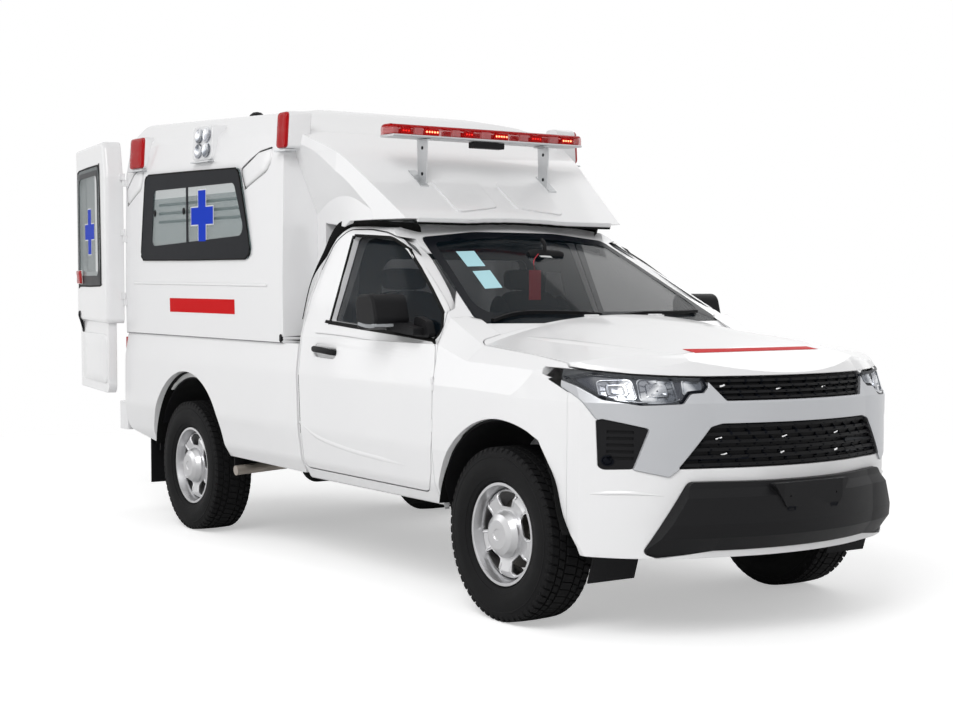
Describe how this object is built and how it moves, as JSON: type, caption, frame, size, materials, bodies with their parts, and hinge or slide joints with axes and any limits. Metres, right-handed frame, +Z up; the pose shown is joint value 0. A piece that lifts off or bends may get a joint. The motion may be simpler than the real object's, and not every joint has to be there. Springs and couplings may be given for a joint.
{
  "type": "ambulance",
  "caption": "Pickup-based ambulance with single cab, moulded patient capsule, steered wheels, opening doors and bonnet, roof light bar.",
  "frame": {"origin": "on the ground under the middle of the whole length with the right rear door open", "axes": "+X forward, +Y to the vehicle's left, +Z up"},
  "size_m": [5.8128, 2.116, 2.4406],
  "materials": {
    "white_paint": "gloss white body paint",
    "black_plastic": "grained black plastic",
    "silver_band": "satin silver paint",
    "frame_black": "black chassis paint",
    "cast_metal": "cast metal",
    "exhaust_steel": "heated steel",
    "tyre": "black rubber",
    "wheel_silver": "silver painted pressed steel",
    "glass_clear": "tinted glass",
    "lamp_glass": "clear lamp cover",
    "red_lens": "red translucent lens",
    "bracket_grey": "bare aluminium",
    "seat_cloth": "dark woven cloth",
    "interior_grey": "dark grey moulding",
    "floor_grey": "pale moulded lining"
  },
  "bodies": {
    "vehicle": {"chassis_frame": "frame_black", "engine_block": "cast_metal", "propshaft": "frame_black", "exhaust_system": "exhaust_steel", "fuel_tank": "black_plastic", "rear_axle": "frame_black", "front_suspension": "frame_black", "cab_shell": "white_paint", "windscreen": "glass_clear", "cab_seats": "seat_cloth", "dashboard": "interior_grey", "front_fenders": "white_paint", "front_bumper": "white_paint", "bumper_guard": "black_plastic", "grille_band": "silver_band", "grille": "black_plastic", "headlamps": "lamp_glass", "arch_liners": "black_plastic", "lower_sides": "white_paint", "load_floor": "floor_grey", "capsule_shell": "white_paint", "cab_fairing": "white_paint", "side_windows": "glass_clear", "side_lamps": "red_lens", "light_bar": "red_lens", "light_bar_brackets": "bracket_grey", "rear_bumper": "white_paint", "interior_fittings": "floor_grey"},
    "bonnet": {"bonnet": "white_paint"},
    "steering_wheel": {"steering_wheel": "interior_grey"},
    "front_door_left": {"front_door_left": "white_paint", "door_glass_left": "glass_clear", "mirror_left": "black_plastic"},
    "rear_door_left": {"rear_door_left": "white_paint", "rear_glass_left": "glass_clear"},
    "knuckle_left": {"knuckle_left": "cast_metal"},
    "wheel_front_left": {"tyre_front_left": "tyre", "rim_front_left": "wheel_silver"},
    "wheel_rear_left": {"tyre_rear_left": "tyre", "rim_rear_left": "wheel_silver"},
    "front_door_right": {"front_door_right": "white_paint", "door_glass_right": "glass_clear", "mirror_right": "black_plastic"},
    "rear_door_right": {"rear_door_right": "white_paint", "rear_glass_right": "glass_clear"},
    "knuckle_right": {"knuckle_right": "cast_metal"},
    "wheel_front_right": {"tyre_front_right": "tyre", "rim_front_right": "wheel_silver"},
    "wheel_rear_right": {"tyre_rear_right": "tyre", "rim_rear_right": "wheel_silver"}
  },
  "joints": [
    {"name": "steer_left", "type": "hinge", "parent": "vehicle", "child": "knuckle_left", "pos_m": [1.9543, 0.69, 0.3745], "axis": [0, 0, 1], "range_deg": [-32, 32]},
    {"name": "spin_front_left", "type": "hinge", "parent": "knuckle_left", "child": "wheel_front_left", "pos_m": [1.9543, 0.785, 0.3745], "axis": [0, 1, 0], "continuous": true},
    {"name": "spin_rear_left", "type": "hinge", "parent": "vehicle", "child": "wheel_rear_left", "pos_m": [-1.1417, 0.785, 0.3745], "axis": [0, 1, 0], "continuous": true},
    {"name": "steer_right", "type": "hinge", "parent": "vehicle", "child": "knuckle_right", "pos_m": [1.9543, -0.69, 0.3745], "axis": [0, 0, 1], "range_deg": [-32, 32]},
    {"name": "spin_front_right", "type": "hinge", "parent": "knuckle_right", "child": "wheel_front_right", "pos_m": [1.9543, -0.785, 0.3745], "axis": [0, 1, 0], "continuous": true},
    {"name": "spin_rear_right", "type": "hinge", "parent": "vehicle", "child": "wheel_rear_right", "pos_m": [-1.1417, -0.785, 0.3745], "axis": [0, 1, 0], "continuous": true},
    {"name": "open_door_left", "type": "hinge", "parent": "vehicle", "child": "front_door_left", "pos_m": [1.4998, 0.935, 0.8], "axis": [0, 0, 1], "range_deg": [-65, 0]},
    {"name": "open_door_right", "type": "hinge", "parent": "vehicle", "child": "front_door_right", "pos_m": [1.4998, -0.935, 0.8], "axis": [0, 0, 1], "range_deg": [0, 65]},
    {"name": "open_bonnet", "type": "hinge", "parent": "vehicle", "child": "bonnet", "pos_m": [1.6903, 0, 1.29], "axis": [0, -1, 0], "range_deg": [0, 45]},
    {"name": "open_rear_left", "type": "hinge", "parent": "vehicle", "child": "rear_door_left", "pos_m": [-1.9857, 0.932, 1.5], "axis": [0, 0, 1], "range_deg": [-95, 0]},
    {"name": "open_rear_right", "type": "hinge", "parent": "vehicle", "child": "rear_door_right", "pos_m": [-1.9857, -0.932, 1.5], "axis": [0, 0, 1], "range_deg": [-80, 15]},
    {"name": "turn_steering_wheel", "type": "hinge", "parent": "vehicle", "child": "steering_wheel", "pos_m": [1.1543, 0.375, 1.115], "axis": [-0.8829, 0, 0.4695], "range_deg": [-480, 480]}
  ],
  "couplings": [
    {"joint": "steer_right", "follows": "steer_left", "ratio": 1},
    {"joint": "turn_steering_wheel", "follows": "steer_left", "ratio": 15}
  ]
}
